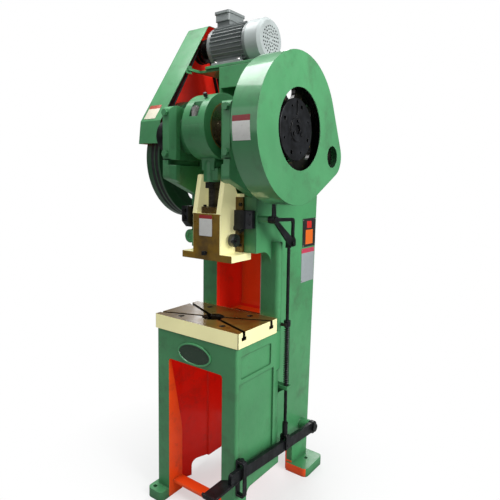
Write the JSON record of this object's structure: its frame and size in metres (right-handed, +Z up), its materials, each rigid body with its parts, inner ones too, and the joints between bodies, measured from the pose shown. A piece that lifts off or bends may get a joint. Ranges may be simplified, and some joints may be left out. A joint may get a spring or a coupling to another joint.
{
  "type": "mechanical stamping press",
  "caption": "Fixed-table C-frame mechanical stamping press with a flywheel, gear drive, key clutch, adjustable ram and foot treadle.",
  "frame": {"origin": "on the floor, at the centre of the four foot-bolt holes", "axes": "+X to the operator's right, +Y to the back of the machine, +Z up"},
  "size_m": [0.812, 0.851, 2.157],
  "materials": {
    "green_casting": "painted, semi-gloss",
    "green_sheet": "painted, semi-gloss",
    "cream_casting": "painted, semi-gloss",
    "bare_casting": "machined and oily",
    "steel": "machined",
    "black_steel": "blackened",
    "dark_paint": "painted, worn",
    "bronze": "turned",
    "motor_grey": "painted, satin",
    "grey_sheet": "painted, satin",
    "grey_plastic": "moulded",
    "belt_rubber": "matt",
    "red_casting": "painted",
    "spring_wire": "drawn wire"
  },
  "bodies": {
    "frame": {"frame_casting": "green_casting", "bolster_plate": "cream_casting", "bolster_bolts": "black_steel", "bearing_cap_right": "green_casting", "bearing_cap_left": "green_casting", "main_bush_right": "bronze", "main_bush_left": "bronze", "back_shaft_bush_right": "bronze", "back_shaft_bush_left": "bronze", "gib_right": "bare_casting", "gib_left": "bare_casting", "bearing_cap_bolts": "black_steel", "gib_screws": "black_steel", "brake_band": "black_steel", "v_belts": "belt_rubber", "motor_housing": "motor_grey", "motor_fan_cover": "grey_sheet", "terminal_box": "motor_grey", "terminal_box_lid": "motor_grey", "motor_plate": "green_sheet", "motor_stand": "green_sheet", "motor_bolts": "steel", "motor_stand_bolts": "steel", "gear_guard": "green_sheet", "gear_guard_posts": "steel", "gear_guard_shelf": "green_sheet", "belt_guard": "green_sheet", "belt_guard_arms": "green_sheet", "treadle_pin": "steel", "treadle_guide": "dark_paint", "return_spring": "spring_wire", "trip_lever_pin": "steel", "trip_bracket": "dark_paint"},
    "back_shaft_train": {"flywheel": "green_casting", "back_shaft": "steel", "pinion": "steel"},
    "gear_wheel": {"main_gear": "bare_casting"},
    "motor_rotor": {"motor_shaft": "steel", "motor_pulley": "bare_casting", "motor_fan": "grey_plastic"},
    "crank": {"crankshaft": "steel", "clutch_disc": "black_steel", "clutch_disc_bolts": "black_steel", "brake_drum": "bare_casting"},
    "rod": {"connecting_rod": "green_casting", "connecting_rod_cap": "green_casting", "connecting_rod_bolts": "steel", "crankpin_bush": "bronze", "ball_screw": "steel"},
    "slide": {"ram": "cream_casting", "ball_cap": "steel", "ball_cap_bolts": "black_steel", "shank_screw": "black_steel", "ram_roller": "black_steel"},
    "treadle": {"treadle_arm": "dark_paint", "treadle_plate": "dark_paint"},
    "trip_rod": {"pull_rod": "steel", "spring_collar": "steel"},
    "trip_bell_crank": {"trip_lever": "dark_paint"}
  },
  "joints": [
    {"name": "flywheel_spin", "type": "hinge", "parent": "frame", "child": "back_shaft_train", "pos_m": [0, 0.097, 1.48326], "axis": [1, 0, 0], "continuous": true},
    {"name": "gear_spin", "type": "hinge", "parent": "frame", "child": "gear_wheel", "pos_m": [0.349, -0.158, 1.572], "axis": [1, 0, 0], "continuous": true},
    {"name": "motor_spin", "type": "hinge", "parent": "frame", "child": "motor_rotor", "pos_m": [0, 0.152, 2.007], "axis": [1, 0, 0], "continuous": true},
    {"name": "crank_turn", "type": "hinge", "parent": "frame", "child": "crank", "pos_m": [0, -0.158, 1.572], "axis": [-1, 0, 0], "range_deg": [0, 180]},
    {"name": "rod_swing", "type": "hinge", "parent": "crank", "child": "rod", "pos_m": [0, -0.158, 1.5995], "axis": [-1, 0, 0], "range_deg": [-180, 0]},
    {"name": "ram_slide", "type": "slide", "parent": "frame", "child": "slide", "axis": [0, 0, 1], "range_m": [-0.055, 0]},
    {"name": "treadle_press", "type": "hinge", "parent": "frame", "child": "treadle", "pos_m": [0.236, 0.302, 0.208], "axis": [1, 0, 0], "range_deg": [0, 3.5], "stiffness_Nm_per_rad": 307, "springref_deg": -8.02},
    {"name": "rod_pull", "type": "slide", "parent": "frame", "child": "trip_rod", "axis": [0, 0, 1], "range_m": [-0.015, 0], "deforming": ["return_spring"]},
    {"name": "trip_lever_turn", "type": "hinge", "parent": "frame", "child": "trip_bell_crank", "pos_m": [0.25, -0.082, 1.231], "axis": [1, 0, 0], "range_deg": [-6.1, 0]}
  ],
  "couplings": [
    {"joint": "gear_spin", "follows": "flywheel_spin", "ratio": -0.2},
    {"joint": "motor_spin", "follows": "flywheel_spin", "ratio": 5.46},
    {"joint": "rod_swing", "follows": "crank_turn", "ratio": -1},
    {"joint": "ram_slide", "follows": "crank_turn", "m_per_rad": -0.017507},
    {"joint": "rod_pull", "follows": "treadle_press", "m_per_rad": -0.24555},
    {"joint": "trip_lever_turn", "follows": "treadle_press", "ratio": -1.7238}
  ]
}
